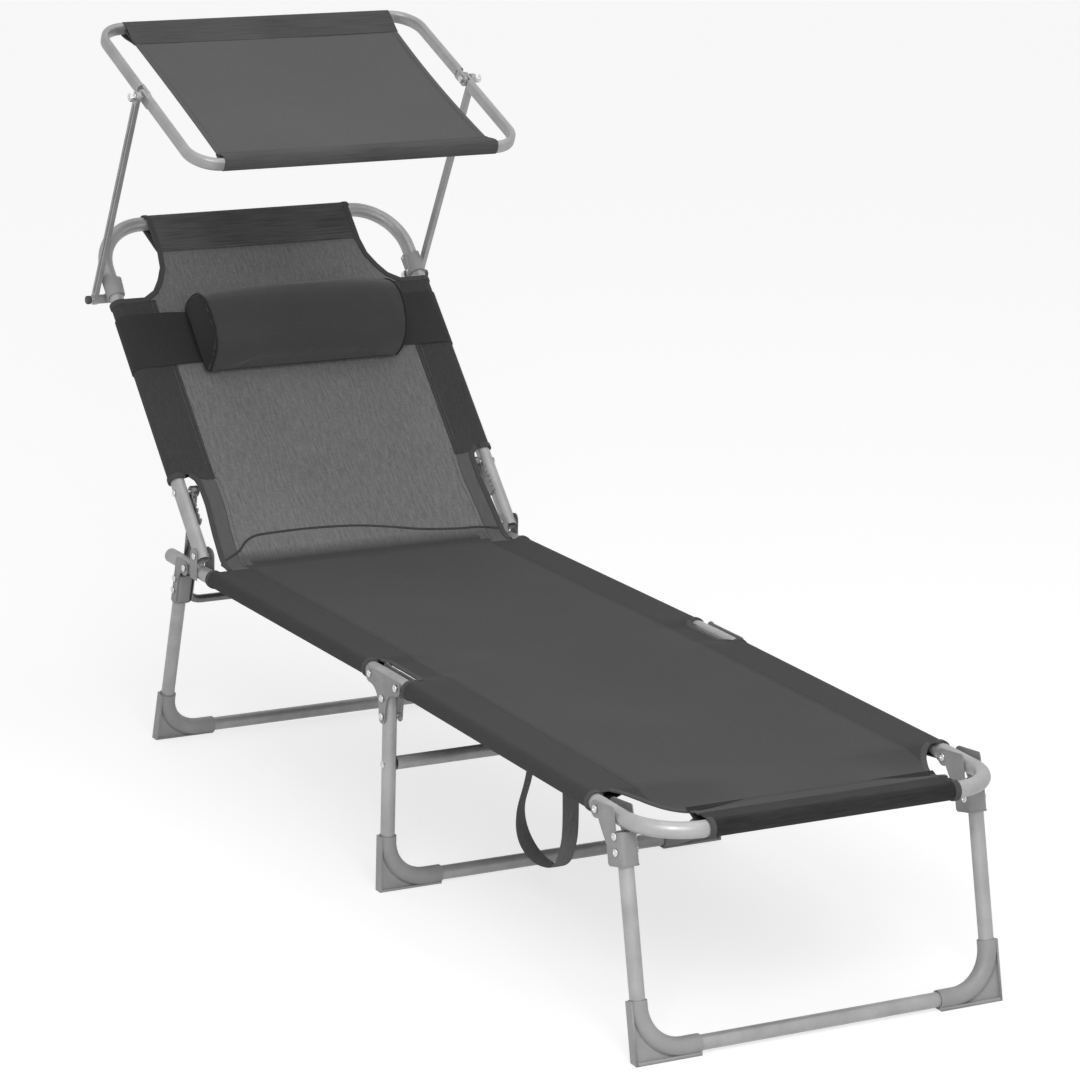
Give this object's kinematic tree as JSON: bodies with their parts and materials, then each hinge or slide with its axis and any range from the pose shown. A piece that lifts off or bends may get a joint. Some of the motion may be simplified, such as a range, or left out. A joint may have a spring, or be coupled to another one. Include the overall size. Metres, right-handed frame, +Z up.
{
  "type": "folding sun lounger with canopy",
  "caption": "Folding sun lounger: steel tube frame with mesh seat, reclining back, sliding head pillow and a tilting canopy on two arms.",
  "frame": {"origin": "on the floor, below the middle of the whole lounger's length and width", "axes": "+X from the head end to the foot end, +Y to the right side, +Z up"},
  "size_m": [1.7684, 0.591, 1.0692],
  "materials": {
    "steel_tube": "satin light grey powder coat",
    "canopy_tube": "satin grey oval tube",
    "plated_steel": "zinc plated",
    "bracket_steel": "satin grey pressed plate",
    "foot_plastic": "grey moulded plastic",
    "collar_plastic": "grey moulded plastic",
    "screw_plastic": "dark fluted grip on a plated screw",
    "seat_mesh": "coated mesh weave, dark grey",
    "back_mesh": "coated mesh weave, dark grey",
    "pad_cloth": "soft woven cloth, charcoal",
    "canopy_cloth": "plain woven cloth, dark grey",
    "strap_web": "woven webbing, charcoal"
  },
  "bodies": {
    "seat_frame": {"rail_left": "steel_tube", "rail_right": "steel_tube", "rail_cap_left": "foot_plastic", "rail_cap_right": "foot_plastic", "hinge_plate_outer_left": "bracket_steel", "hinge_plate_outer_right": "bracket_steel", "hinge_plate_inner_left": "bracket_steel", "hinge_plate_inner_right": "bracket_steel", "hinge_pin_left": "plated_steel", "hinge_pin_right": "plated_steel", "seat_fabric": "seat_mesh"},
    "backrest": {"backrest_frame": "steel_tube", "backrest_fabric": "back_mesh", "prop_pin_left": "plated_steel", "prop_pin_right": "plated_steel", "canopy_collar_left": "collar_plastic", "canopy_collar_right": "collar_plastic"},
    "prop_bow": {"prop_bow": "plated_steel"},
    "headrest": {"headrest_band": "pad_cloth", "headrest_pillow": "pad_cloth"},
    "canopy_arms": {"canopy_arm_left": "plated_steel", "canopy_arm_right": "plated_steel"},
    "canopy_rear": {"canopy_frame_rear": "canopy_tube", "canopy_fabric_rear": "canopy_cloth"},
    "canopy_front": {"canopy_frame_front": "canopy_tube", "canopy_fabric_front": "canopy_cloth"},
    "rear_leg": {"rear_leg_frame": "steel_tube", "rear_leg_bracket_left": "bracket_steel", "rear_leg_bracket_right": "bracket_steel", "rear_foot_left": "foot_plastic", "rear_foot_right": "foot_plastic", "rear_leg_pin_left": "plated_steel", "rear_leg_pin_right": "plated_steel"},
    "mid_leg": {"mid_leg_frame": "steel_tube", "mid_leg_crossbar": "steel_tube", "mid_bracket_outer_left": "bracket_steel", "mid_bracket_outer_right": "bracket_steel", "mid_bracket_inner_left": "bracket_steel", "mid_bracket_inner_right": "bracket_steel", "mid_foot_left": "foot_plastic", "mid_foot_right": "foot_plastic", "seat_pivot_pin_left": "plated_steel", "seat_pivot_pin_right": "plated_steel", "foot_pivot_pin_left": "plated_steel", "foot_pivot_pin_right": "plated_steel"},
    "foot_section": {"foot_frame": "steel_tube", "foot_fabric": "seat_mesh", "carry_strap": "strap_web"},
    "front_leg": {"front_leg_frame": "steel_tube", "front_leg_bracket_left": "bracket_steel", "front_leg_bracket_right": "bracket_steel", "front_foot_left": "foot_plastic", "front_foot_right": "foot_plastic", "front_leg_pin_left": "plated_steel", "front_leg_pin_right": "plated_steel"},
    "lower_screw_left": {"lower_screw_left": "screw_plastic"},
    "lower_screw_right": {"lower_screw_right": "screw_plastic"},
    "upper_screw_left": {"upper_screw_left": "screw_plastic"},
    "upper_screw_right": {"upper_screw_right": "screw_plastic"}
  },
  "joints": [
    {"name": "backrest_recline", "type": "hinge", "parent": "seat_frame", "child": "backrest", "pos_m": [-0.46008, 0, 0.32395], "axis": [0, 1, 0], "range_deg": [-45.75, 75]},
    {"name": "prop_swing", "type": "hinge", "parent": "backrest", "child": "prop_bow", "pos_m": [-0.53684, 0, 0.40274], "axis": [0, 1, 0], "range_deg": [-45, 28]},
    {"name": "headrest_slide", "type": "slide", "parent": "backrest", "child": "headrest", "axis": [-0.6978, 0, 0.7163], "range_m": [-0.14, 0.02]},
    {"name": "canopy_swing", "type": "hinge", "parent": "backrest", "child": "canopy_arms", "pos_m": [-0.81723, 0, 0.64614], "axis": [0, 1, 0], "range_deg": [-75, 15]},
    {"name": "canopy_tilt", "type": "hinge", "parent": "canopy_arms", "child": "canopy_rear", "pos_m": [-0.65431, 0, 0.9839], "axis": [0, 1, 0], "range_deg": [-60, 30]},
    {"name": "canopy_fold", "type": "hinge", "parent": "canopy_rear", "child": "canopy_front", "pos_m": [-0.65431, 0, 0.9839], "axis": [0, 1, 0], "range_deg": [0, 120]},
    {"name": "rear_leg_fold", "type": "hinge", "parent": "seat_frame", "child": "rear_leg", "pos_m": [-0.49301, 0, 0.29767], "axis": [0, 1, 0], "range_deg": [-100, 0]},
    {"name": "mid_leg_swing", "type": "hinge", "parent": "seat_frame", "child": "mid_leg", "pos_m": [0.12612, 0, 0.303], "axis": [0, 1, 0], "range_deg": [-90, 0]},
    {"name": "foot_section_fold", "type": "hinge", "parent": "mid_leg", "child": "foot_section", "pos_m": [0.20412, 0, 0.303], "axis": [0, 1, 0], "range_deg": [-90, 0]},
    {"name": "front_leg_fold", "type": "hinge", "parent": "foot_section", "child": "front_leg", "pos_m": [0.75246, 0, 0.2989], "axis": [0, 1, 0], "range_deg": [0, 100]},
    {"name": "lower_screw_left_turn", "type": "hinge", "parent": "backrest", "child": "lower_screw_left", "pos_m": [-0.81723, 0, 0.64614], "axis": [0, 1, 0], "continuous": true},
    {"name": "lower_screw_right_turn", "type": "hinge", "parent": "backrest", "child": "lower_screw_right", "pos_m": [-0.81723, 0, 0.64614], "axis": [0, 1, 0], "continuous": true},
    {"name": "upper_screw_left_turn", "type": "hinge", "parent": "canopy_arms", "child": "upper_screw_left", "pos_m": [-0.65431, 0, 0.9839], "axis": [0, 1, 0], "continuous": true},
    {"name": "upper_screw_right_turn", "type": "hinge", "parent": "canopy_arms", "child": "upper_screw_right", "pos_m": [-0.65431, 0, 0.9839], "axis": [0, 1, 0], "continuous": true}
  ],
  "couplings": [
    {"joint": "prop_swing", "follows": "backrest_recline", "ratio": -0.6}
  ]
}
